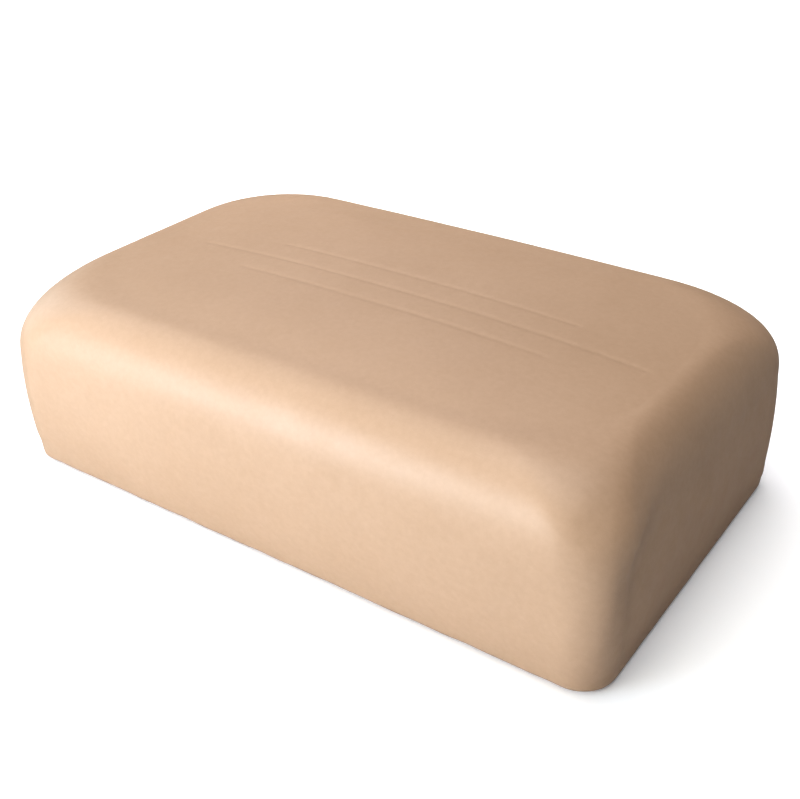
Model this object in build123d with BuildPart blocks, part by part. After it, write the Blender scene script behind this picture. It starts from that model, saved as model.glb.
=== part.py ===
from build123d import *
import os

# Face-rest cushion for a massage table: an upholstered block on a plywood base board, with
# three lines pressed into its top and two loop strips underneath.
# Frame: +X along the cushion, +Y across it, +Z up. The origin is the centre of the underside,
# on the lower faces of the loop strips. Millimetres.

# ---- outer form ----
length = 355.0
width = 227.0
height = 109.0          # to the middle of the crowned top
crown = 5.0             # how far the top falls from its middle line to its long sides
side_corner = 40.0      # plan corner radius of the padded block
shoulder_radius = 34.0  # rounding of the top's edges
base_corner = 17.0      # plan corner radius at the board
base_inset_x = 2.3      # the board is narrower than the foam that bulges over it
base_inset_y = 10.5
bulge_height = 28.0     # the cover draws in to the board over this height

# ---- layers, from the underside up ----
strip_thickness = 1.6
dust_cover_thickness = 0.4
board_bottom = strip_thickness + dust_cover_thickness
board_thickness = 15.0
board_top = board_bottom + board_thickness
board_edge_round = 2.5
cover_thickness = 1.2
cover_bottom = board_bottom - cover_thickness
cover_margin = 30.0     # width of cover turned under the board
firm_foam_top = 72.0
wadding_thickness = 6.0

# ---- pressed lines and the panel behind them ----
quilt_foam_thickness = 2.0
backing_thickness = 0.4
quilt_length = 300.0
quilt_width = 146.0
quilt_corner = 30.0
line_width = 2.2
line_depth = 1.4
pressed_to = 3.0        # depth of the ribs that the lines leave on the cover's inner side
line_spacing = 17.6
middle_line_length = 262.0
outer_line_length = 174.0
line_shift_x = 14.0
line_shift_y = -7.0

# ---- underside ----
dust_cover_inset = 18.0     # its edge, in from the edge of the board
strip_length = 130.0
strip_width = 50.0
strip_corner = 5.0
strip_offset = 90.0
staple_crown = 10.0
staple_leg = 8.0
wire_width = 0.9
wire_thickness = 0.5
cover_staple_inset = 26.0
dust_staple_inset = 21.0
cover_staple_pitch = 20.0
dust_staple_pitch = 45.0
strip_staple_inset = 5.0
strip_staple_pitch = 30.0

clear_above = height + 10.0     # above everything, for trimming tools


def board_outline(inset):
    """Length, width and corner radius of the board band, moved in by inset."""
    return (
        length - 2 * base_inset_x - 2 * inset,
        width - 2 * base_inset_y - 2 * inset,
        base_corner - inset,
    )


def pad_form(inset):
    """The padded block above the board, moved in by inset, as one closed solid."""
    side_outline = (length - 2 * inset, width - 2 * inset, side_corner - inset)
    side_bottom = board_top + bulge_height
    half_width = width / 2
    middle = height - inset
    rim = middle - crown
    with BuildPart() as form:
        with BuildSketch(Plane.XY.offset(side_bottom)):
            RectangleRounded(*side_outline)
        extrude(amount=height)
        with BuildSketch(Plane.YZ):
            with BuildLine():
                ThreePointArc((-half_width, rim), (0, middle), (half_width, rim))
                Polyline((half_width, rim), (half_width, 0), (-half_width, 0), (-half_width, rim))
            make_face()
        extrude(amount=length, both=True, mode=Mode.INTERSECT)
        fillet(form.faces().sort_by(Axis.Z)[-1].edges(), shoulder_radius - inset)
        with BuildSketch(Plane.XY.offset(board_top)):
            RectangleRounded(*board_outline(inset))
        with BuildSketch(Plane.XY.offset(side_bottom)):
            RectangleRounded(*side_outline)
        loft(ruled=True)
    return form.part


def slab(outline, bottom, top):
    """A flat rounded-rectangle slab between two heights."""
    with BuildPart() as plate:
        with BuildSketch(Plane.XY.offset(bottom)):
            RectangleRounded(*outline)
        extrude(amount=top - bottom)
    return plate.part


def board_band(inset, bottom, edge_round):
    """The band around the board, from bottom to the board's top, with a rounded lower edge."""
    with BuildPart() as band:
        with BuildSketch(Plane.XY.offset(bottom)):
            RectangleRounded(*board_outline(inset))
        extrude(amount=board_top - bottom)
        fillet(band.edges().group_by(Axis.Z)[0], edge_round)
    return band.part


def pressed_lines(grow, depth):
    """Three round-ended bars along the top; their undersides lie at depth below the middle."""
    with BuildPart() as bars:
        with BuildSketch(Plane.XY.offset(height - depth)):
            for row, bar_length in (
                (-1, outer_line_length),
                (0, middle_line_length),
                (1, outer_line_length),
            ):
                with Locations((line_shift_x, line_shift_y + row * line_spacing)):
                    SlotOverall(bar_length + 2 * grow, line_width + 2 * grow)
        extrude(amount=clear_above - height + depth)
    return bars.part


def staple(crown_bottom):
    """One wire staple driven upward, its crown's lower face at crown_bottom."""
    with BuildPart() as wire:
        with BuildSketch(Plane.XY.offset(crown_bottom)):
            Rectangle(staple_crown, wire_width)
        extrude(amount=wire_thickness)
        with BuildSketch(Plane.XY.offset(crown_bottom + wire_thickness)):
            with GridLocations(staple_crown - wire_thickness, 0, 2, 1):
                Rectangle(wire_thickness, wire_width)
        extrude(amount=staple_leg)
    return wire.part


def run_positions(span, pitch):
    """Evenly spaced places along a straight run, centred on zero."""
    count = int(span // pitch) + 1
    return [(i - (count - 1) / 2) * pitch for i in range(count)]


def ring_of_staples(inset, pitch, crown_bottom, at_corners):
    """Staples in a ring that follows the board's edge at a fixed inset."""
    band_length, band_width, corner = board_outline(cover_thickness)
    half_x = band_length / 2 - inset
    half_y = band_width / 2 - inset
    clear = 2 * staple_crown
    places = []
    for x in run_positions(2 * (half_x - clear), pitch):
        places += [Location((x, half_y, 0)), Location((x, -half_y, 0))]
    for y in run_positions(2 * (half_y - clear), pitch):
        places += [Location((half_x, y, 0), (0, 0, 90)), Location((-half_x, y, 0), (0, 0, 90))]
    if at_corners:
        for sign_x in (-1, 1):
            for sign_y in (-1, 1):
                place = (sign_x * (half_x - 4), sign_y * (half_y - 4), 0)
                places.append(Location(place, (0, 0, -45 * sign_x * sign_y)))
    with BuildPart() as ring:
        with Locations(*places):
            add(staple(crown_bottom))
    return ring.part


os.makedirs("parts", exist_ok=True)

# The forms and tools that several layers share, from the outside in.
backing_top = cover_thickness + quilt_foam_thickness
cover_inner_form = pad_form(cover_thickness)
backing_top_form = pad_form(backing_top)
backing_bottom_form = pad_form(backing_top + backing_thickness)
foam_form = pad_form(cover_thickness + wadding_thickness)
quilt_slab = slab((quilt_length, quilt_width, quilt_corner), firm_foam_top, clear_above)
pressed_ribs = pressed_lines(cover_thickness, pressed_to)

# ---- fasteners, made first because the pieces they pass through are pierced by them ----
with BuildPart() as cover_staples:
    add(ring_of_staples(cover_staple_inset, cover_staple_pitch, cover_bottom, True))

with BuildPart() as dust_cover_staples:
    dust_crown_bottom = cover_bottom - dust_cover_thickness
    add(ring_of_staples(dust_staple_inset, dust_staple_pitch, dust_crown_bottom, False))

strip_edge = strip_width / 2 - strip_staple_inset
strip_staple_places = [
    Location((side * strip_offset + edge, y, 0), (0, 0, 90))
    for side in (-1, 1)
    for edge in (-strip_edge, strip_edge)
    for y in run_positions(strip_length - 2 * staple_crown, strip_staple_pitch)
]
with BuildPart() as strip_staples:
    with Locations(*strip_staple_places):
        add(staple(wire_thickness))

all_staples = (cover_staples, dust_cover_staples, strip_staples)

# ---- board: plywood, with its lower edge rounded for the cover ----
with BuildPart() as base_board:
    add(board_band(cover_thickness, board_bottom, board_edge_round))
    for group in all_staples:
        add(group.part, mode=Mode.SUBTRACT)

# ---- the ribs of cover that the pressed lines leave on its inner side ----
with BuildPart() as cover_ribs:
    add(pressed_ribs)
    add(cover_inner_form, mode=Mode.INTERSECT)

# ---- cover: one skin over the top and sides, turned under the board ----
with BuildPart() as vinyl_cover:
    add(pad_form(0))
    add(board_band(0, cover_bottom, board_edge_round + cover_thickness))
    add(cover_inner_form, mode=Mode.SUBTRACT)
    add(board_band(cover_thickness, board_bottom, board_edge_round), mode=Mode.SUBTRACT)
    add(cover_ribs.part)
    add(pressed_lines(0, line_depth), mode=Mode.SUBTRACT)
    band_length, band_width, band_corner = board_outline(cover_thickness + cover_margin)
    with BuildSketch(Plane.XY.offset(cover_bottom)):
        RectangleRounded(band_length, band_width, band_corner + cover_margin)
    extrude(amount=cover_thickness, mode=Mode.SUBTRACT)
    for group in all_staples:
        add(group.part, mode=Mode.SUBTRACT)

# ---- thin foam and cloth that the lines are pressed into ----
with BuildPart() as quilt_foam:
    add(quilt_slab)
    add(cover_inner_form, mode=Mode.INTERSECT)
    add(backing_top_form, mode=Mode.SUBTRACT)
    add(cover_ribs.part, mode=Mode.SUBTRACT)

with BuildPart() as quilt_backing:
    add(quilt_slab)
    add(backing_top_form, mode=Mode.INTERSECT)
    add(backing_bottom_form, mode=Mode.SUBTRACT)

# ---- wadding over the foam ----
with BuildPart() as wadding:
    add(cover_inner_form)
    add(foam_form, mode=Mode.SUBTRACT)
    add(quilt_foam.part, mode=Mode.SUBTRACT)
    add(cover_ribs.part, mode=Mode.SUBTRACT)
    add(quilt_backing.part, mode=Mode.SUBTRACT)

# ---- foam: a firm block glued to the board, with a softer layer on it ----
with BuildPart() as firm_foam:
    add(foam_form)
    split(bisect_by=Plane.XY.offset(firm_foam_top), keep=Keep.BOTTOM)

with BuildPart() as comfort_foam:
    add(foam_form)
    split(bisect_by=Plane.XY.offset(firm_foam_top), keep=Keep.TOP)

# ---- dust cover: steps down over the edge of the turned-under cover ----
with BuildPart() as dust_cover:
    outer_length, outer_width, outer_corner = board_outline(cover_thickness + dust_cover_inset)
    edge_outline = (outer_length, outer_width, outer_corner + dust_cover_inset)
    inner_outline = (band_length, band_width, band_corner + cover_margin)
    step_outline = (
        band_length - 2 * dust_cover_thickness,
        band_width - 2 * dust_cover_thickness,
        band_corner + cover_margin - dust_cover_thickness,
    )
    add(slab(edge_outline, cover_bottom - dust_cover_thickness, cover_bottom))
    add(slab(inner_outline, cover_bottom, board_bottom))
    lower_face = cover_bottom - dust_cover_thickness
    add(slab(step_outline, lower_face, board_bottom - dust_cover_thickness), mode=Mode.SUBTRACT)
    for group in all_staples:
        add(group.part, mode=Mode.SUBTRACT)

# ---- loop strips: the soft half of hook-and-loop, across the underside ----
loop_strips = []
for side in (-1, 1):
    with BuildPart() as strip:
        with BuildSketch(Plane.XY):
            with Locations((side * strip_offset, 0)):
                RectangleRounded(strip_width, strip_length, strip_corner)
        extrude(amount=strip_thickness)
        add(strip_staples.part, mode=Mode.SUBTRACT)
        with BuildSketch(Plane.XY):
            with Locations(*strip_staple_places):
                Rectangle(staple_crown, wire_width)
        extrude(amount=wire_thickness, mode=Mode.SUBTRACT)
    loop_strips.append(strip)
loop_strip_left, loop_strip_right = loop_strips

pieces = {
    "base_board": base_board,
    "firm_foam": firm_foam,
    "comfort_foam": comfort_foam,
    "wadding": wadding,
    "quilt_backing": quilt_backing,
    "quilt_foam": quilt_foam,
    "vinyl_cover": vinyl_cover,
    "cover_staples": cover_staples,
    "dust_cover": dust_cover,
    "dust_cover_staples": dust_cover_staples,
    "loop_strip_left": loop_strip_left,
    "loop_strip_right": loop_strip_right,
    "strip_staples": strip_staples,
}
for name, piece in pieces.items():
    piece.part.label = name
    export_step(piece.part, f"parts/{name}.step")
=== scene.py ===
import math

import bpy
import numpy as np
from mathutils import Matrix, Vector, noise


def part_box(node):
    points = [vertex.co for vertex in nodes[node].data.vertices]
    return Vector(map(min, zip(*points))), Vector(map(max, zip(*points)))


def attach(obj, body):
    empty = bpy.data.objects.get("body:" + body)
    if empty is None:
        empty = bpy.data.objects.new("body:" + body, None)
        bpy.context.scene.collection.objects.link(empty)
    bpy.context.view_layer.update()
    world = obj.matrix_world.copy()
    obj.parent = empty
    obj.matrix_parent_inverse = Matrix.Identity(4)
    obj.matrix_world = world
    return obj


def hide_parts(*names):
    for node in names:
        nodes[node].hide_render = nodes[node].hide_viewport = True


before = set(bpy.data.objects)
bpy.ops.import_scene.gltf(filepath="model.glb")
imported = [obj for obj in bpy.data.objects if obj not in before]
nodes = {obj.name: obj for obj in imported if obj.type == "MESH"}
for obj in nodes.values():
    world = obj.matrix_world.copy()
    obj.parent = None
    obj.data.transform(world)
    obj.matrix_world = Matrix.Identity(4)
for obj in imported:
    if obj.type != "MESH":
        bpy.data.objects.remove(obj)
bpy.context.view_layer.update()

# ---- sizes, in metres, worked out from the frame ----
MM = 0.001
cover_low, cover_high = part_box("vinyl_cover")
board_low, board_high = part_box("base_board")
_, foam_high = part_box("firm_foam")
dust_low, dust_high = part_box("dust_cover")

HALF_LENGTH = (cover_high[0] - cover_low[0]) / 2
HALF_WIDTH = (cover_high[1] - cover_low[1]) / 2
UNDERSIDE = cover_low[2]
BOARD_BOTTOM = board_low[2]
BOARD_TOP = board_high[2]
COVER_THICKNESS = BOARD_BOTTOM - UNDERSIDE
WADDING_THICKNESS = HALF_LENGTH - COVER_THICKNESS - foam_high[0]

CROWN = 5.0 * MM
RIM_HEIGHT = cover_high[2] - CROWN
SHOULDER_DROP = 34.4 * MM
SHOULDER_START = RIM_HEIGHT - SHOULDER_DROP
SHOULDER_RUN_X = 21.4 * MM
SHOULDER_RUN_Y = 28.6 * MM
BASE_CORNER = 16.6 * MM         # plan corner radius at the underside
SIDE_CORNER = 33.5 * MM         # where the shoulder starts
CORNER_EASE = 3.0 * MM          # the corners are rounder half way up the sides
CORNER_TIGHT = 0.34             # the front right corner is pulled tighter than the others
TIGHT_RISE = 50.0 * MM
TOP_CORNER = 67.5 * MM          # at the rim of the top
BASE_INSET_Y = 10.6 * MM        # the underside stands in from the sides' fullest part
BASE_REACH_X = 0.9 * MM
SHOULDER_INSET_X = 1.5 * MM     # the ends are fullest below the shoulder
END_BULGE = 3.1 * MM
BULGE_TURN = 0.8 * math.pi      # the part of a sine wave that the bulge follows
TUCK_ROUND = 2.4 * MM           # the cover's rounding over the board's lower edge
MARGIN = 30.0 * MM              # cover turned under the board
CROWN_POWER = 2.5
SHOULDER_POWER = 2.1
CORNER_DENSITY = 1.8            # mesh points on a corner's arc, against those on a straight
END_TURN = math.radians(24)     # the part of a corner's arc that is meshed with the end
TOP_BOW = 2.0 * MM              # the long sides' upper edges bow up in the middle
BOW_MIDDLE = 0.7                # the bow's share at the middle; at the ends it is this less 1

LINE_SPACING = 17.6 * MM
LINE_SHIFT_X = 13.0 * MM
LINE_SHIFT_Y = -7.0 * MM
LINE_HALF_LENGTHS = {-1: 87.0 * MM, 0: 129.5 * MM, 1: 87.0 * MM}
LINE_HALF_WIDTH = 2.8 * MM
LINE_DEPTH = 0.20 * MM

CORE_MARGIN = 8.0 * MM          # the top's regular grid reaches this far past the lines
CORE_MARGIN_RIGHT = 2.4 * MM    # and this far at the right, where the rim is near

# ---- camera ----
CAMERA_AZIMUTH = 34.9
CAMERA_ELEVATION = 30.1
CAMERA_ROLL = -0.63
CAMERA_DISTANCE = 637.0 * MM
CAMERA_RIGHT = 4.5 * MM
CAMERA_UP = 34.8 * MM
CAMERA_LENS = 52.0
SENSOR_WIDTH = 36.0


# ---------------------------------------------------------------- form of the padded block

def ease(value):
    value = min(1.0, max(0.0, value))
    return value * value * (3 - 2 * value)


def half_sizes(z, inset):
    """Half length, half width and corner radius of the block's outline at height z."""
    if z <= SHOULDER_START:
        level = max(0.0, (z - UNDERSIDE) / (SHOULDER_START - UNDERSIDE))
        bulge = math.sin(BULGE_TURN * level) - math.sin(BULGE_TURN)
        half_x = HALF_LENGTH - SHOULDER_INSET_X + END_BULGE * bulge
        half_x += BASE_REACH_X * (1 - level) ** 2
        half_y = HALF_WIDTH - BASE_INSET_Y * (1 - level) ** 2
        corner = BASE_CORNER + (SIDE_CORNER - BASE_CORNER) * level
        corner += CORNER_EASE * math.sin(math.pi * level)
        return half_x - inset, half_y - inset, corner - inset
    drop = SHOULDER_DROP - inset
    rise = min(1.0, (z - SHOULDER_START) / drop)
    angle = math.asin(rise ** (SHOULDER_POWER / 2))
    inward = 1 - max(0.0, math.cos(angle)) ** (2 / SHOULDER_POWER)
    half_x = HALF_LENGTH - SHOULDER_INSET_X - inset - (SHOULDER_RUN_X - inset) * inward
    half_y = HALF_WIDTH - inset - (SHOULDER_RUN_Y - inset) * inward
    corner = SIDE_CORNER - inset + (TOP_CORNER - SIDE_CORNER + inset) * inward
    return half_x, half_y, corner


RIM_X, RIM_Y, RIM_CORNER = half_sizes(RIM_HEIGHT, 0.0)


def rim_share(x, y):
    """How far out a point of the top is: 0 at the middle, 1 at the rim."""
    x, y = abs(x), abs(y)
    centre_x = RIM_X - RIM_CORNER
    centre_y = RIM_Y - RIM_CORNER
    if y * RIM_X <= centre_y * x:
        return x / RIM_X
    if x * RIM_Y <= centre_x * y:
        return y / RIM_Y
    a = centre_x ** 2 + centre_y ** 2 - RIM_CORNER ** 2
    b = -2 * (x * centre_x + y * centre_y)
    c = x * x + y * y
    return (-b - math.sqrt(max(0.0, b * b - 4 * a * c))) / (2 * a)


def top_height(x, y, inset):
    return RIM_HEIGHT - inset + CROWN * (1 - min(1.0, rim_share(x, y)) ** CROWN_POWER)


def tightness(z):
    """The front right corner's radius at a height, as a share of the other corners'."""
    return 1 - CORNER_TIGHT * ease((z - UNDERSIDE) / TIGHT_RISE)


def outline_points(half_x, half_y, base_corner, places, tight=1.0):
    """Points around a rounded rectangle. places holds (side, -1 to 1 along that side)."""
    points = []
    for side, along in places:
        out, across = (half_y, half_x) if side % 2 == 0 else (half_x, half_y)
        front_right = (side, along > 0) in ((0, True), (1, False))
        corner = base_corner * tight if front_right else base_corner
        straight = across - corner
        arc_turn = math.pi / 2 - END_TURN if side % 2 == 0 else END_TURN
        arc = CORNER_DENSITY * corner * arc_turn
        share = straight / (straight + arc)
        if abs(along) <= share:
            normal, tangent = out, along / share * straight
        else:
            turn = arc_turn * (abs(along) - share) / (1 - share)
            normal = out - corner + corner * math.cos(turn)
            tangent = math.copysign(straight + corner * math.sin(turn), along)
        points.append({
            0: (tangent, -normal),
            1: (normal, tangent),
            2: (-tangent, normal),
            3: (-normal, -tangent),
        }[side])
    return points


def spaced(low, high, step):
    count = max(2, round((high - low) / step) + 1)
    return list(np.linspace(low, high, count))


def line_rows():
    """Each pressed line's y, its first x and its last x."""
    for row, half in LINE_HALF_LENGTHS.items():
        y = LINE_SHIFT_Y + row * LINE_SPACING
        yield y, LINE_SHIFT_X - half, LINE_SHIFT_X + half


def core_axes(step, fine):
    """x and y of the regular grid on the middle of the top, closely spaced at the lines."""
    rows = list(line_rows())
    x_low = min(r[1] for r in rows) - CORE_MARGIN
    x_high = max(r[2] for r in rows) + CORE_MARGIN_RIGHT
    y_low = min(r[0] for r in rows) - CORE_MARGIN
    y_high = max(r[0] for r in rows) + CORE_MARGIN
    xs = spaced(x_low, x_high, step)
    ys = spaced(y_low, y_high, step)
    if not fine:
        return xs, ys
    offsets = [k * LINE_HALF_WIDTH / 4 for k in range(-6, 7)]
    for centre, _, _ in rows:
        ys = [v for v in ys if abs(v - centre) > 2 * LINE_HALF_WIDTH]
        ys += [centre + o for o in offsets]
    ends = {end for _, first, last in rows for end in (first, last)}
    for end in ends:
        xs = [v for v in xs if abs(v - end) > 2 * LINE_HALF_WIDTH]
        xs += [end + o for o in offsets[::2]]
    return sorted(xs), sorted(ys)


def perimeter(xs, ys):
    """Grid indices around the core, anticlockwise from its first corner, and their places."""
    last_i, last_j = len(xs) - 1, len(ys) - 1
    across = [2 * (x - xs[0]) / (xs[-1] - xs[0]) - 1 for x in xs]
    up = [2 * (y - ys[0]) / (ys[-1] - ys[0]) - 1 for y in ys]
    even_x = np.linspace(-1, 1, len(xs))
    even_y = np.linspace(-1, 1, len(ys))
    across = [0.5 * (a + e) for a, e in zip(across, even_x)]
    up = [0.5 * (a + e) for a, e in zip(up, even_y)]
    loop = [((i, 0), (0, across[i])) for i in range(last_i)]
    loop += [((last_i, j), (1, up[j])) for j in range(last_j)]
    loop += [((i, last_j), (2, -across[i])) for i in range(last_i, 0, -1)]
    loop += [((0, j), (3, -up[j])) for j in range(last_j, 0, -1)]
    return [cell for cell, _ in loop], [place for _, place in loop]


def bow(x, z):
    """Extra height towards the middle of the length, growing from the underside to the top."""
    along = (x / HALF_LENGTH) ** 2
    level = max(0.0, (z - BOARD_TOP) / (RIM_HEIGHT - BOARD_TOP))
    return TOP_BOW * (BOW_MIDDLE - along) * level ** 2


def build_mesh(name, points, faces):
    mesh = bpy.data.meshes.new(name)
    mesh.from_pydata(points, [], faces)
    mesh.validate()
    mesh.polygons.foreach_set("use_smooth", [True] * len(mesh.polygons))
    mesh.update()
    piece = bpy.data.objects.new(name, mesh)
    bpy.context.scene.collection.objects.link(piece)
    return piece


SMOOTH_PULLS = (0.5, -0.52)     # each pass smooths, then swells back


class Form:
    """Vertices and faces of a closed form, grown downward in rings from the top's grid."""

    def __init__(self, inset, step, fine=False, ring_count=14):
        self.points = []
        self.faces = []
        self.inset = inset
        xs, ys = core_axes(step, fine)
        cells, self.places = perimeter(xs, ys)
        width = len(ys)
        for x in xs:
            for y in ys:
                self.points.append((x, y, top_height(x, y, inset)))
        for i in range(len(xs) - 1):
            for j in range(len(ys) - 1):
                a = i * width + j
                self.faces.append((a, a + width, a + width + 1, a + 1))
        self.core_count = len(self.points)
        self.ring = [i * width + j for i, j in cells]
        inner = [self.points[k][:2] for k in self.ring]
        rim = outline_points(RIM_X, RIM_Y, RIM_CORNER, self.places, tightness(RIM_HEIGHT))
        self.rings = [self.ring]
        for k in range(1, ring_count + 1):
            share = k / ring_count
            ring = []
            for (ax, ay), (bx, by) in zip(inner, rim):
                x, y = ax + (bx - ax) * share, ay + (by - ay) * share
                ring.append((x, y, top_height(x, y, inset)))
            self.add_ring(ring)

    def add_ring(self, ring):
        start = len(self.points)
        self.points += ring
        new = list(range(start, start + len(ring)))
        for k, upper in enumerate(self.ring):
            after = (k + 1) % len(ring)
            self.faces.append((upper, new[k], new[after], self.ring[after]))
        self.ring = new
        self.rings.append(new)

    def add_outline(self, z, half_x, half_y, corner):
        points = outline_points(half_x, half_y, corner, self.places, tightness(z))
        self.add_ring([(x, y, z) for x, y in points])

    def add_sides(self, low, turns, step):
        """Rings over the shoulder and down to height low."""
        drop = SHOULDER_DROP - self.inset
        for k in range(1, turns + 1):
            angle = math.pi / 2 * (1 - k / turns)
            z = SHOULDER_START + drop * math.sin(angle) ** (2 / SHOULDER_POWER)
            if z > low + 0.3 * step:
                self.add_outline(z, *half_sizes(z, self.inset))
        top = min(self.points[self.ring[0]][2], SHOULDER_START)
        for z in reversed(spaced(low, top, step)[:-1]):
            self.add_outline(z, *half_sizes(z, self.inset))

    def close(self):
        self.faces.append(tuple(reversed(self.ring)))

    def smooth_rings(self, first, last, passes):
        """Evens out the profile between two rings, without shrinking it much."""
        points = np.array(self.points)
        grid = np.array(self.rings[first:last + 1])
        for _ in range(passes):
            for pull in SMOOTH_PULLS:
                rows = points[grid]
                rows[1:-1] += pull * (0.5 * (rows[:-2] + rows[2:]) - rows[1:-1])
                points[grid] = rows
        self.points = [tuple(p) for p in points]

    def build(self, name):
        points = [(x, y, z + bow(x, z)) for x, y, z in self.points]
        return build_mesh(name, points, self.faces)


# ---------------------------------------------------------------- the cover

def line_press(x, y):
    """Depth of the pressed lines at a point of the top."""
    depth = 0.0
    for row_y, first, last in line_rows():
        past_end = max(first - x, x - last, 0.0)
        away = math.hypot(past_end, y - row_y)
        channel = math.cos(min(1.0, away / LINE_HALF_WIDTH) * math.pi / 2) ** 2
        soft = math.exp(-(away / (1.6 * LINE_HALF_WIDTH)) ** 2)
        depth += LINE_DEPTH * (0.85 * channel + 0.15 * soft)
    return depth


# Folds of the cover: the points they pass with their height there (negative for a hollow),
# and how far they reach to each side, all in millimetres.
FOLDS = (
    # front right corner: a crest up the corner, then on along the end's shoulder
    ([(171, -97, 8, 0.0), (173, -101, 26, 2.2), (175, -102, 52, 3.7), (175, -101, 67, 4.6),
      (177, -88, 78, 4.2), (177, -68, 86, 1.8), (173, -40, 91, 0.0)], 22),
    ([(172, -97, 40, 0.0), (173, -95, 62, 0.45), (173, -93, 68, 0.5), (175, -80, 80, 0.5),
      (174, -66, 86, 0.0)], 3.2),
    ([(156, -103, 84, 0.8), (168, -90, 86, 0.8)], 30),
    # and a pucker running into it from the front
    ([(150, -112, 76, 0.0), (162, -107, 72, 0.35), (171, -98, 68, 0.3)], 4),
    ([(169, -93, 80, 0.7), (171, -90, 82, 0.7)], 11),
    # the other corners
    ([(-168, 99, 15, 0.0), (-170, 98, 40, 0.9), (-169, 98, 66, 1.1), (-160, 96, 84, 0.0)], 12),
    ([(-170, 97, 50, 0.0), (-169, 96, 68, 0.4), (-158, 94, 84, 0.0)], 3),
    ([(164, 104, 30, 0.0), (166, 102, 58, 0.4), (160, 101, 76, 0.0)], 3.4),
    ([(-164, -104, 34, 0.0), (-165, -103, 60, 0.35), (-159, -102, 76, 0.0)], 3.6),
    # the board's upper edge shows where the cover is pulled hard over it
    ([(-150, -108, 12, 0.0), (-168, -98, 12, -1.1), (-176, -84, 12, -1.1),
      (-178, -60, 13, 0.0)], 8),
    ([(150, 108, 13, 0.0), (168, 98, 12, 0.8), (176, 84, 12, 0.8), (178, 60, 13, 0.0)], 6),
    ([(178, -60, 12, 0.0), (178, -20, 13, 0.3), (178, 30, 12, 0.25), (178, 70, 13, 0.0)], 5),
)
CREST = 0.12                    # rounding of a fold's crest, as a share of its reach


def fold_height(points):
    """How far the folds lift each point of the cover off its smooth form."""
    lift = np.zeros(len(points))
    for path, reach in FOLDS:
        stops = np.array(path) * MM
        nearest = np.full(len(points), np.inf)
        height = np.zeros(len(points))
        for first, last in zip(stops[:-1], stops[1:]):
            run = last[:3] - first[:3]
            share = np.clip((points - first[:3]) @ run / (run @ run), 0.0, 1.0)
            away = np.linalg.norm(points - first[:3] - share[:, None] * run, axis=1)
            closer = away < nearest
            here = first[3] + share * (last[3] - first[3])
            nearest = np.where(closer, away, nearest)
            height = np.where(closer, here, height)
        spread = np.hypot(nearest / (reach * MM), CREST)
        lift += height * np.clip(1 - spread, 0.0, 1.0) ** 1.5
    return lift


SWELL = 0.16 * MM               # the foam's unevenness
BROAD_WAVES = 16                # swells to a metre, for the broad ones
FINE_WAVES = 45
HEM_WAVE = 0.7 * MM             # the lower edge isn't pulled quite evenly
HEM_REACH = 9.0 * MM            # how far up the sides and in from the edge the wave is felt
HEM_EDGE = 5.0 * MM
SLOW_WAVES = 22
QUICK_WAVES = 75


def uneven(x, y, z):
    """Small slow swells all over, in metres."""
    broad = noise.noise(Vector((x * BROAD_WAVES, y * BROAD_WAVES, z * BROAD_WAVES + 4)))
    fine = noise.noise(Vector((x * FINE_WAVES, y * FINE_WAVES, z * FINE_WAVES + 9)))
    return SWELL * (0.75 * broad + 0.25 * fine)


def hem_wave(x, y):
    """How much the lower edge is drawn up at a point around it."""
    slow = noise.noise(Vector((x * SLOW_WAVES, y * SLOW_WAVES, 2.0)))
    quick = noise.noise(Vector((x * QUICK_WAVES, y * QUICK_WAVES, 7.0)))
    return HEM_WAVE * (0.5 * slow + 0.7 * quick - 0.1)


PLEATS = 7                      # folds gathered under each corner
PLEAT_DEPTH = 0.45 * MM
PLEAT_FULLNESS = 2.2            # a pleat's sides are steep: its wave is raised, then cut flat
PLEAT_REACH = 1.3 * MARGIN
TACK_PITCH = 20.0 * MM
TACK_DEPTH = 0.12 * MM


def under_relief(x, y):
    """Depth of the gathers on the turned-in margin, below its flat face."""
    half_x, half_y, _ = half_sizes(UNDERSIDE, 0.0)
    in_x, in_y = half_x - abs(x), half_y - abs(y)
    from_edge = min(in_x, in_y)
    if from_edge > MARGIN:
        return 0.0
    left_x, left_y = PLEAT_REACH - in_x, PLEAT_REACH - in_y
    near = ease(left_x / PLEAT_REACH) * ease(left_y / PLEAT_REACH)
    spokes = abs(math.sin(math.atan2(left_y, left_x) * PLEATS * 2))
    gather = PLEAT_FULLNESS * PLEAT_DEPTH * near * spokes * ease(from_edge / (6 * MM))
    along = x if in_y < in_x else y
    pull = 0.5 + 0.5 * math.cos(2 * math.pi * along / TACK_PITCH)
    ripple = TACK_DEPTH * pull * ease(from_edge / (8 * MM)) * (1 - near)
    return min(gather, PLEAT_DEPTH) + ripple


def detail_cover(piece):
    """Moves the smooth cover's points: folds, swells, the hem's wave and its gathers."""
    mesh = piece.data
    count = len(mesh.vertices)
    points = np.empty(count * 3)
    normals = np.empty(count * 3)
    mesh.vertices.foreach_get("co", points)
    mesh.vertices.foreach_get("normal", normals)
    points, normals = points.reshape(-1, 3), normals.reshape(-1, 3)
    half_x, half_y, _ = half_sizes(UNDERSIDE, 0.0)
    lift = fold_height(points)
    for k, (x, y, z) in enumerate(points):
        lift[k] = (lift[k] + uneven(x, y, z)) * ease((z - UNDERSIDE) / (3 * MM))
    moved = points + normals * lift[:, None]
    for k, (x, y, z) in enumerate(points):
        low = ease(1 - (z - UNDERSIDE) / HEM_REACH)
        outer = ease(1 - min(half_x - abs(x), half_y - abs(y)) / HEM_EDGE)
        moved[k, 2] += hem_wave(x, y) * low * outer
        if z < UNDERSIDE + 0.1 * MM:
            moved[k, 2] -= under_relief(x, y)
    mesh.vertices.foreach_set("co", moved.ravel())
    mesh.update()


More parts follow.
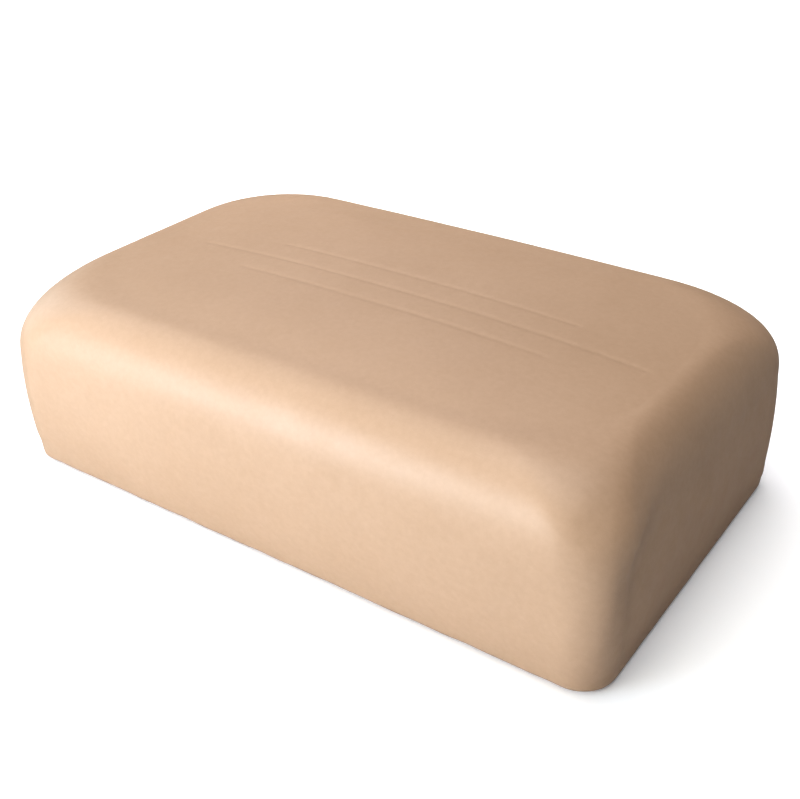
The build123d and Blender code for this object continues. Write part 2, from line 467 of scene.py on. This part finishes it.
COVER_STEP = 1.8 * MM           # the cover's mesh: on the top,
SIDE_STEP = 1.7 * MM            # down the sides
MARGIN_STEP = 2.4 * MM          # and on the margin turned under
SHOULDER_RINGS = 22
TUCK_RINGS = 6
SMOOTH_FROM = 3                 # the first ring that is smoothed
SMOOTH_PASSES = 12
TUCK_CORNER = 0.3               # how much a corner tightens, as a share of the way inward
GAP = 0.1 * MM                  # between the board and what is laid against it


def make_cover():
    form = Form(0.0, COVER_STEP, fine=True, ring_count=16)
    form.add_sides(UNDERSIDE + TUCK_ROUND, SHOULDER_RINGS, SIDE_STEP)
    last_ring = len(form.rings) - 2
    half_x, half_y, corner = half_sizes(UNDERSIDE, 0.0)
    for k in range(1, TUCK_RINGS + 1):
        angle = math.pi / 2 * k / TUCK_RINGS
        inward = TUCK_ROUND * (1 - math.cos(angle))
        z = UNDERSIDE + TUCK_ROUND * (1 - math.sin(angle))
        form.add_outline(z, half_x - inward, half_y - inward, corner - TUCK_CORNER * inward)
    inner_corner = corner - TUCK_CORNER * TUCK_ROUND
    for inward in spaced(TUCK_ROUND, MARGIN, MARGIN_STEP)[1:]:
        form.add_outline(UNDERSIDE, half_x - inward, half_y - inward, inner_corner)
    form.add_outline(BOARD_BOTTOM - GAP, half_x - MARGIN, half_y - MARGIN, inner_corner)
    form.close()
    form.smooth_rings(SMOOTH_FROM, last_ring, SMOOTH_PASSES)
    core = form.points[:form.core_count]
    form.points[:form.core_count] = [(x, y, z - line_press(x, y)) for x, y, z in core]
    piece = form.build("padded_cover")
    detail_cover(piece)
    return piece


cover = make_cover()
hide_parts("vinyl_cover")
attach(cover, "root")


# ---------------------------------------------------------------- layers under the cover

LAYER_STEP = 8 * MM
LAYER_RINGS = 8
LAYER_SHOULDER_RINGS = 12
QUILT_REACH = 0.93              # the quilted panel's outline, as a share of the rim
QUILT_THICKNESS = 2.0 * MM
BACKING_THICKNESS = 0.4 * MM


def rim_outline(form, share):
    return outline_points(RIM_X * share, RIM_Y * share, RIM_CORNER * share, form.places)


def padded_layer(form, name, node):
    """Builds a hidden soft layer and hangs it on the frame."""
    piece = form.build(name)
    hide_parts(node)
    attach(piece, "root")
    return piece


def close_with(outer, inner):
    """Joins an inner form, turned inside out, to the last ring of an outer one."""
    shift = len(outer.points)
    outer.points += inner.points
    outer.faces += [tuple(shift + k for k in reversed(face)) for face in inner.faces]
    count = len(outer.ring)
    for k in range(count):
        after = (k + 1) % count
        outer.faces.append((
            outer.ring[k], shift + inner.ring[k], shift + inner.ring[after], outer.ring[after],
        ))


def make_soft_foam(inset):
    form = Form(inset, LAYER_STEP, ring_count=LAYER_RINGS)
    form.add_sides(foam_high[2], LAYER_SHOULDER_RINGS, LAYER_STEP)
    form.close()
    return padded_layer(form, "soft_foam_block", "comfort_foam")


def make_firm_foam(inset):
    form = Form(inset, LAYER_STEP, ring_count=LAYER_RINGS)
    top = foam_high[2]
    half_x, half_y, corner = half_sizes(top, inset)
    form.points = [(x * half_x / RIM_X, y * half_y / RIM_Y, top) for x, y, _ in form.points]
    edge = outline_points(half_x, half_y, corner, form.places, tightness(top))
    for k, (x, y) in zip(form.ring, edge):
        form.points[k] = (x, y, top)
    for z in reversed(spaced(BOARD_TOP, top, LAYER_STEP)[:-1]):
        form.add_outline(z, *half_sizes(z, inset))
    form.close()
    return padded_layer(form, "firm_foam_block", "firm_foam")


def make_wadding(outer_inset, inner_inset):
    outer = Form(outer_inset, LAYER_STEP, ring_count=LAYER_RINGS)
    lowered = QUILT_THICKNESS + BACKING_THICKNESS
    outer.points = [
        (x, y, z - lowered if rim_share(x, y) < QUILT_REACH else z) for x, y, z in outer.points
    ]
    outer.add_sides(BOARD_TOP, LAYER_SHOULDER_RINGS, LAYER_STEP)
    inner = Form(inner_inset, LAYER_STEP, ring_count=LAYER_RINGS)
    inner.add_sides(BOARD_TOP, LAYER_SHOULDER_RINGS, LAYER_STEP)
    close_with(outer, inner)
    return padded_layer(outer, "wadding_wrap", "wadding")


def make_panel(name, node, inset, thickness):
    """A thin panel under the top, with the form's own crown on both faces."""
    outer = Form(inset, LAYER_STEP, ring_count=1)
    inner = Form(inset + thickness, LAYER_STEP, ring_count=1)
    for form in (outer, inner):
        for k, (x, y) in zip(form.ring, rim_outline(form, QUILT_REACH)):
            form.points[k] = (x, y, top_height(x, y, form.inset))
    outer.points = [
        (x, y, min(z, top_height(x, y, 0.0) - COVER_THICKNESS - line_press(x, y)))
        for x, y, z in outer.points
    ]
    close_with(outer, inner)
    return padded_layer(outer, name, node)


CLEARANCE = 0.5 * MM            # between the cover and what it hides
wadding_inset = COVER_THICKNESS + CLEARANCE
foam_inset = wadding_inset + WADDING_THICKNESS
backing_inset = wadding_inset + QUILT_THICKNESS
layer_pieces = {
    "firm_foam": make_firm_foam(foam_inset),
    "soft_foam": make_soft_foam(foam_inset),
    "wadding": make_wadding(wadding_inset, foam_inset),
    "quilt_foam": make_panel(
        "quilt_foam_panel", "quilt_foam", wadding_inset, QUILT_THICKNESS
    ),
    "backing_cloth": make_panel(
        "quilt_backing_cloth", "quilt_backing", backing_inset, BACKING_THICKNESS
    ),
}


# ---------------------------------------------------------------- underside

def grid_sheet(name, xs, ys, lower, upper):
    """A closed sheet between two height functions over a regular grid."""
    points = [(x, y, upper(x, y)) for x in xs for y in ys]
    points += [(x, y, lower(x, y)) for x in xs for y in ys]
    rows, width = len(xs), len(ys)
    shift = rows * width
    faces = []
    for i in range(rows - 1):
        for j in range(width - 1):
            a = i * width + j
            faces.append((a, a + width, a + width + 1, a + 1))
            faces.append((shift + a, shift + a + 1, shift + a + width + 1, shift + a + width))
    edge = [i * width for i in range(rows)]
    edge += [(rows - 1) * width + j for j in range(1, width)]
    edge += [i * width + width - 1 for i in range(rows - 2, -1, -1)]
    edge += list(range(width - 2, 0, -1))
    for k, a in enumerate(edge):
        b = edge[(k + 1) % len(edge)]
        faces.append((a, shift + a, shift + b, b))
    return build_mesh(name, points, faces)


def crown_points(name):
    """Points on the lower faces of a node's staple crowns, and the height of those faces."""
    mesh = nodes[name].data
    place = nodes[name].matrix_world
    corners = [place @ v.co for v in mesh.vertices]
    lowest = min(p.z for p in corners)
    limit = lowest + 0.05 * MM
    points = [(p.x, p.y) for p in corners if p.z < limit]
    for face in mesh.polygons:
        if all(corners[k].z < limit for k in face.vertices):
            middle = place @ face.center
            points.append((middle.x, middle.y))
    return np.array(points), lowest


def pinch(points, x, y, reach):
    """1 at a staple's crown, easing to 0 away from it."""
    nearest = math.sqrt(((points - (x, y)) ** 2).sum(axis=1).min())
    return ease(1.6 - nearest / reach)


CROWN_REACH = 3.0 * MM
CROWN_SHOWS = 0.15 * MM         # how far a crown stands proud of what it holds
DUST_STEP = 2.6 * MM
DUST_THICKNESS = 0.3 * MM
DUST_RIPPLE = 0.12 * MM
DUST_PULL = 0.10 * MM           # small waves where it is drawn tight,
DUST_PULL_REACH = 30.0 * MM     # this far in from its edge
DUST_WAVES = 140                # and how close they are, in radians to a metre
HEM = 9.0 * MM                  # the dust cover's edge is folded under once
HEM_STEP = 0.25 * MM
EDGE_FADE = 0.8 * MM            # a hem or a selvage steps over this distance
STEP_RUN = 5.0 * MM             # over which it steps down onto the cover's margin


def dust_face(x, y):
    """The dust cover's upper face: against the board in the middle, and lower on the margin."""
    half_x, half_y, corner = half_sizes(UNDERSIDE, 0.0)
    past_x = abs(x) - (half_x - MARGIN) + corner
    past_y = abs(y) - (half_y - MARGIN) + corner
    past = math.hypot(max(past_x, 0.0), max(past_y, 0.0)) + min(max(past_x, past_y), 0.0) - corner
    drop = COVER_THICKNESS * ease((past + STEP_RUN) / STEP_RUN)
    ripple = DUST_RIPPLE * noise.noise(Vector((x * 26, y * 26, 3.0)))
    from_edge = min(dust_high[0] - abs(x), dust_high[1] - abs(y))
    pull = DUST_PULL * math.sin(x * DUST_WAVES) * math.sin(y * DUST_WAVES)
    pull *= ease(1 - from_edge / DUST_PULL_REACH)
    return BOARD_BOTTOM - GAP - drop - abs(ripple) - abs(pull)


def make_dust_cover():
    crowns, crown_bottom = crown_points("dust_cover_staples")

    def lower(x, y):
        from_edge = min(dust_high[0] - abs(x), dust_high[1] - abs(y))
        hem = HEM_STEP * ease((HEM - from_edge) / EDGE_FADE)
        free = max(dust_low[2] - CROWN_SHOWS, dust_face(x, y) - DUST_THICKNESS - hem)
        held = max(free, crown_bottom + CROWN_SHOWS)
        return free + (held - free) * pinch(crowns, x, y, CROWN_REACH)

    xs = spaced(dust_low[0], dust_high[0], DUST_STEP)
    ys = spaced(dust_low[1], dust_high[1], DUST_STEP)
    piece = grid_sheet("dust_cloth", xs, ys, lower, dust_face)
    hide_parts("dust_cover")
    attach(piece, "root")
    return piece


PILE = 0.28 * MM                # how unevenly the loops stand
SELVAGE = 2.2 * MM              # the strip's woven edge has no loops
SELVAGE_STEP = 0.25 * MM        # and is this much thinner
STRIP_STEP = 0.75 * MM
STRIP_CORNER = 5.0 * MM


def make_strip(side):
    node = f"loop_strip_{side}"
    low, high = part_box(node)
    corner = STRIP_CORNER
    crowns, crown_bottom = crown_points("strip_staples")

    def rounded_edge(x, y):
        """Distance in from the strip's rounded outline."""
        dx = abs(x - (low[0] + high[0]) / 2) - (high[0] - low[0]) / 2 + corner
        dy = abs(y - (low[1] + high[1]) / 2) - (high[1] - low[1]) / 2 + corner
        return corner - math.hypot(max(dx, 0), max(dy, 0)) - min(max(dx, dy), 0.0)

    def pull_in(x, y):
        """Moves a grid point inside the rounded outline."""
        cx = min(max(x, low[0] + corner), high[0] - corner)
        cy = min(max(y, low[1] + corner), high[1] - corner)
        reach = math.hypot(x - cx, y - cy)
        limit = max(abs(x - cx), abs(y - cy))
        scale = limit / reach if reach > 0 else 1.0
        return cx + (x - cx) * scale, cy + (y - cy) * scale

    def lower(x, y):
        inner = ease((rounded_edge(x, y) - SELVAGE) / EDGE_FADE)
        pile = noise.noise(Vector((x * 1500, y * 1500, 1.0))) + 0.5
        free = low[2] + SELVAGE_STEP * (1 - inner) + PILE * inner * min(1.0, max(0.0, pile))
        held = max(free, crown_bottom + 2 * CROWN_SHOWS)
        return free + (held - free) * pinch(crowns, x, y, CROWN_REACH)

    def upper(x, y):
        return high[2] - 0.05 * MM

    xs = spaced(low[0], high[0], STRIP_STEP)
    ys = spaced(low[1], high[1], STRIP_STEP)
    piece = grid_sheet(f"loop_tape_{side}", xs, ys, lower, upper)
    for vertex in piece.data.vertices:
        vertex.co.x, vertex.co.y = pull_in(vertex.co.x, vertex.co.y)
    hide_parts(node)
    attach(piece, "root")
    return piece


dust_cloth = make_dust_cover()
loop_tapes = [make_strip(side) for side in ("left", "right")]


# ---------------------------------------------------------------- materials

class Shader:
    """A node material: a Principled shader with helpers for its textures."""

    def __init__(self, name, roughness, **constants):
        self.material = bpy.data.materials.new(name)
        self.material.use_nodes = True
        self.tree = self.material.node_tree
        self.principled = self.tree.nodes["Principled BSDF"]
        self.principled.inputs["Roughness"].default_value = roughness
        for socket, value in constants.items():
            self.principled.inputs[socket.replace("_", " ")].default_value = value
        self.place = self.add("ShaderNodeTexCoord").outputs["Object"]

    def add(self, kind, **settings):
        node = self.tree.nodes.new(kind)
        for key, value in settings.items():
            setattr(node, key, value)
        return node

    def link(self, source, target):
        self.tree.links.new(source, target)

    def noise(self, scale, detail=4.0, roughness=0.55, stretch=(1, 1, 1)):
        mapping = self.add("ShaderNodeMapping")
        mapping.inputs["Scale"].default_value = stretch
        self.link(self.place, mapping.inputs["Vector"])
        node = self.add("ShaderNodeTexNoise")
        node.inputs["Scale"].default_value = scale
        node.inputs["Detail"].default_value = detail
        node.inputs["Roughness"].default_value = roughness
        self.link(mapping.outputs["Vector"], node.inputs["Vector"])
        return node.outputs["Fac"]

    def cells(self, scale, feature="DISTANCE_TO_EDGE"):
        node = self.add("ShaderNodeTexVoronoi", feature=feature)
        node.inputs["Scale"].default_value = scale
        self.link(self.place, node.inputs["Vector"])
        return node.outputs["Distance"]

    def ramp(self, value, stops):
        node = self.add("ShaderNodeValToRGB")
        elements = node.color_ramp.elements
        while len(elements) < len(stops):
            elements.new(0.5)
        for element, (position, colour) in zip(elements, stops):
            element.position = position
            element.color = (*colour, 1.0)
        self.link(value, node.inputs["Fac"])
        return node.outputs["Color"]

    def grey(self, value, low, high, from_low=0.3, from_high=0.7):
        node = self.add("ShaderNodeMapRange")
        node.inputs["From Min"].default_value = from_low
        node.inputs["From Max"].default_value = from_high
        node.inputs["To Min"].default_value = low
        node.inputs["To Max"].default_value = high
        self.link(value, node.inputs["Value"])
        return node.outputs["Result"]

    def darken(self, first, second, amount):
        """Multiplies one colour by another, by that amount."""
        node = self.add("ShaderNodeMix", data_type="RGBA", blend_type="MULTIPLY")
        node.inputs[0].default_value = amount
        self.link(first, node.inputs[6])
        self.link(second, node.inputs[7])
        return node.outputs[2]

    def bump(self, height, distance, strength=1.0, under=None):
        node = self.add("ShaderNodeBump")
        node.inputs["Distance"].default_value = distance
        node.inputs["Strength"].default_value = strength
        self.link(height, node.inputs["Height"])
        if under is not None:
            self.link(under, node.inputs["Normal"])
        return node.outputs["Normal"]

    def colour(self, source):
        self.link(source, self.principled.inputs["Base Color"])

    def rough(self, source):
        self.link(source, self.principled.inputs["Roughness"])

    def normal(self, source):
        self.link(source, self.principled.inputs["Normal"])


def vinyl():
    s = Shader("tan_vinyl", 0.45, Specular_IOR_Level=0.30)
    tone = s.ramp(s.noise(14, 5, 0.6), (
        (0.30, (0.392, 0.253, 0.162)),
        (0.50, (0.402, 0.261, 0.169)),
        (0.70, (0.412, 0.269, 0.176)),
    ))
    mottle = s.ramp(s.noise(330, 4, 0.65), ((0.3, (0.93, 0.92, 0.90)), (0.7, (1.0, 1.0, 1.0))))
    s.colour(s.darken(tone, mottle, 1.0))
    s.rough(s.grey(s.noise(60, 3), 0.40, 0.50))
    pores = s.bump(s.cells(1100), 0.00008, 0.35)
    s.normal(s.bump(s.noise(420, 4, 0.6), 0.00015, 0.35, under=pores))
    return s.material


def foam(name, light, dark, pore_scale):
    s = Shader(name, 0.95, Specular_IOR_Level=0.1)
    tone = s.ramp(s.noise(40, 4), ((0.3, dark), (0.7, light)))
    pores = s.cells(pore_scale, "F1")
    # painted shade: the middle of each pore is darkened, as the shade that falls in a hole
    pore_shade = s.ramp(pores, ((0.10, (0.62, 0.60, 0.55)), (0.35, (1.0, 1.0, 1.0))))
    s.colour(s.darken(tone, pore_shade, 0.7))
    s.normal(s.bump(pores, 0.0005, 0.7))
    return s.material


def fibre():
    s = Shader("polyester_wadding", 0.9, Specular_IOR_Level=0.2, Sheen_Weight=0.3)
    strands = s.noise(260, 6, 0.75, (1, 0.25, 1))
    s.colour(s.ramp(strands, ((0.3, (0.74, 0.74, 0.72)), (0.7, (0.95, 0.95, 0.94)))))
    s.normal(s.bump(strands, 0.0008, 0.6))
    return s.material


def scrim():
    s = Shader("backing_scrim", 0.9, Specular_IOR_Level=0.1)
    web = s.noise(500, 5, 0.7)
    s.colour(s.ramp(web, ((0.3, (0.70, 0.70, 0.67)), (0.7, (0.90, 0.90, 0.87)))))
    s.normal(s.bump(web, 0.0003, 0.5))
    return s.material


def plywood():
    s = Shader("birch_plywood", 0.7, Specular_IOR_Level=0.25)
    grain = s.noise(45, 6, 0.65, (0.18, 1.6, 1.0))
    face = s.ramp(grain, (
        (0.30, (0.46, 0.30, 0.165)),
        (0.52, (0.60, 0.42, 0.25)),
        (0.72, (0.70, 0.52, 0.33)),
    ))
    plies = s.add("ShaderNodeTexWave", bands_direction="Z", wave_type="BANDS")
    plies.inputs["Scale"].default_value = 105
    plies.inputs["Distortion"].default_value = 0.4
    s.link(s.place, plies.inputs["Vector"])
    layers = s.ramp(plies.outputs["Fac"], ((0.35, (0.72, 0.66, 0.60)), (0.6, (1.0, 1.0, 1.0))))
    s.colour(s.darken(face, layers, 0.45))
    s.normal(s.bump(grain, 0.0003, 0.4))
    return s.material


def galvanised():
    s = Shader("staple_wire", 0.35, Metallic=1.0)
    spangle = s.noise(900, 3, 0.6)
    s.colour(s.ramp(spangle, ((0.3, (0.42, 0.42, 0.41)), (0.7, (0.66, 0.66, 0.64)))))
    s.rough(s.grey(spangle, 0.28, 0.5))
    s.normal(s.bump(spangle, 0.00005, 0.4))
    return s.material


def dust_cambric():
    s = Shader("dust_cambric", 0.85, Specular_IOR_Level=0.25, Sheen_Weight=0.15)
    fibres = s.noise(700, 5, 0.7)
    s.colour(s.ramp(fibres, ((0.3, (0.012, 0.012, 0.013)), (0.75, (0.042, 0.042, 0.044)))))
    bonded = s.cells(650, "F1")
    s.normal(s.bump(bonded, 0.00012, 0.6, under=s.bump(fibres, 0.0001, 0.5)))
    return s.material


def loop_pile():
    s = Shader("loop_pile", 0.8, Specular_IOR_Level=0.3, Sheen_Weight=0.4)
    loops = s.noise(1500, 4, 0.7)
    s.colour(s.ramp(loops, ((0.35, (0.008, 0.008, 0.010)), (0.7, (0.065, 0.065, 0.07)))))
    s.normal(s.bump(loops, 0.0003, 0.8))
    return s.material


cover.data.materials.append(vinyl())
layer_materials = {
    "firm_foam": foam("firm_foam", (0.86, 0.76, 0.50), (0.78, 0.67, 0.42), 900),
    "soft_foam": foam("soft_foam", (0.90, 0.89, 0.84), (0.82, 0.81, 0.76), 1100),
    "wadding": fibre(),
    "quilt_foam": foam("quilt_foam", (0.88, 0.86, 0.80), (0.80, 0.78, 0.72), 1300),
    "backing_cloth": scrim(),
}
for key, piece in layer_pieces.items():
    piece.data.materials.append(layer_materials[key])
dust_cloth.data.materials.append(dust_cambric())
pile_material = loop_pile()
for tape in loop_tapes:
    tape.data.materials.append(pile_material)

staple_material = galvanised()
for name in ("cover_staples", "dust_cover_staples", "strip_staples"):
    nodes[name].data.materials.clear()
    nodes[name].data.materials.append(staple_material)
nodes["base_board"].data.materials.clear()
nodes["base_board"].data.materials.append(plywood())


# ---------------------------------------------------------------- floor, light and camera

def floor_material():
    s = Shader(
        "pale_floor", 0.7, Specular_IOR_Level=0.1,
        Emission_Color=(0.82, 0.90, 1.0, 1.0), Emission_Strength=0.17,
    )
    s.colour(s.ramp(s.noise(8, 2), ((0.3, (0.93, 0.93, 0.945)), (0.7, (0.95, 0.95, 0.96)))))
    return s.material


FLOOR_REACH = 30.0
DOME_RADIUS = 2.8


def make_floor():
    """A pale floor. It isn't mirrored in the vinyl, which would grey the dark end."""
    far = FLOOR_REACH
    mesh = bpy.data.meshes.new("floor")
    corners = [(-far, -far, 0), (far, -far, 0), (far, far, 0), (-far, far, 0)]
    mesh.from_pydata(corners, [], [(0, 1, 2, 3)])
    piece = bpy.data.objects.new("floor", mesh)
    bpy.context.scene.collection.objects.link(piece)
    mesh.materials.append(floor_material())
    piece.visible_glossy = False


def make_backdrop():
    """A white dome round the set. It is only seen: it casts no light on the cushion."""
    bpy.ops.mesh.primitive_uv_sphere_add(segments=48, ring_count=24, radius=DOME_RADIUS)
    piece = bpy.context.object
    piece.name = "backdrop_dome"
    white = (1.0, 1.0, 1.0, 1.0)
    s = Shader("backdrop", 1.0, Emission_Color=white, Emission_Strength=1.0)
    piece.data.materials.append(s.material)
    piece.visible_diffuse = False
    piece.visible_glossy = False
    piece.visible_shadow = False


def direction(azimuth, elevation):
    """Unit vector towards a viewer or light at that azimuth and elevation, in degrees."""
    a, e = math.radians(azimuth), math.radians(elevation)
    return Vector((math.sin(a) * math.cos(e), -math.cos(a) * math.cos(e), math.sin(e)))


LIT_POINT = Vector((0, 0, 0.05))


def make_light(name, azimuth, elevation, distance, size, power, colour=(1, 1, 1)):
    data = bpy.data.lights.new(name, "AREA")
    data.shape = "DISK"
    data.size = size
    data.energy = power
    data.color = colour
    lamp = bpy.data.objects.new(name, data)
    towards = direction(azimuth, elevation)
    lamp.location = LIT_POINT + towards * distance
    lamp.rotation_euler = towards.to_track_quat("Z", "Y").to_euler()
    bpy.context.scene.collection.objects.link(lamp)
    return lamp


BACKDROP_LAMP_PLACE = Vector((-0.4, 0.9, 1.3))
BACKDROP_LAMP_BACK = Vector((0.35, -0.8, 0.75))     # the way that its dark side faces


def light_backdrop():
    """A light on the floor beyond the cushion. It faces away from the cushion."""
    lamp = make_light("backdrop", 0, 90, 1.0, 1.6, 75.0)
    lamp.location = BACKDROP_LAMP_PLACE
    lamp.rotation_euler = BACKDROP_LAMP_BACK.to_track_quat("Z", "Y").to_euler()


def make_camera():
    back = direction(CAMERA_AZIMUTH, CAMERA_ELEVATION)
    right = Vector((0, 0, 1)).cross(back).normalized()
    up = back.cross(right)
    roll = math.radians(CAMERA_ROLL)
    data = bpy.data.cameras.new("camera")
    data.lens = CAMERA_LENS
    data.sensor_width = SENSOR_WIDTH
    camera = bpy.data.objects.new("camera", data)
    base = Vector((0, 0, UNDERSIDE))
    camera.location = base + back * CAMERA_DISTANCE + right * CAMERA_RIGHT + up * CAMERA_UP
    right_rolled = right * math.cos(roll) + up * math.sin(roll)
    up_rolled = up * math.cos(roll) - right * math.sin(roll)
    axes = Matrix((right_rolled, up_rolled, back)).transposed()
    camera.rotation_euler = axes.to_euler()
    bpy.context.scene.collection.objects.link(camera)
    bpy.context.scene.camera = camera


WORLD_STRENGTH = 0.04


def make_world():
    world = bpy.data.worlds.new("studio")
    world.use_nodes = True
    background = world.node_tree.nodes["Background"]
    background.inputs["Color"].default_value = (1.0, 1.0, 1.0, 1.0)
    background.inputs["Strength"].default_value = WORLD_STRENGTH
    bpy.context.scene.world = world


# Each soft light's name, azimuth, elevation, distance, width, power in watts and colour.
LIGHTS = (
    ("left_low", -90, 15, 1.3, 0.9, 4.2, (0.74, 0.93, 1.0)),
    ("left_high", -90, 40, 1.3, 0.9, 3.0, (0.88, 0.95, 1.0)),
    ("back_left", -140, 45, 1.5, 1.0, 3.6, (1.0, 0.85, 0.90)),
    ("overhead", 0, 88, 1.6, 1.4, 20.0, (1.0, 1.0, 1.0)),
    ("front_high", 0, 65, 1.4, 1.0, 6.2, (1.0, 0.96, 0.85)),
    ("front_left", -30, 12, 0.85, 0.45, 7.3, (0.71, 0.84, 1.0)),
    ("front", -10, 12, 0.85, 0.45, 4.0, (0.99, 1.0, 0.90)),
)

bpy.context.scene.view_settings.view_transform = "Standard"
make_floor()
make_backdrop()
for light in LIGHTS:
    make_light(*light)
light_backdrop()
make_world()
make_camera()
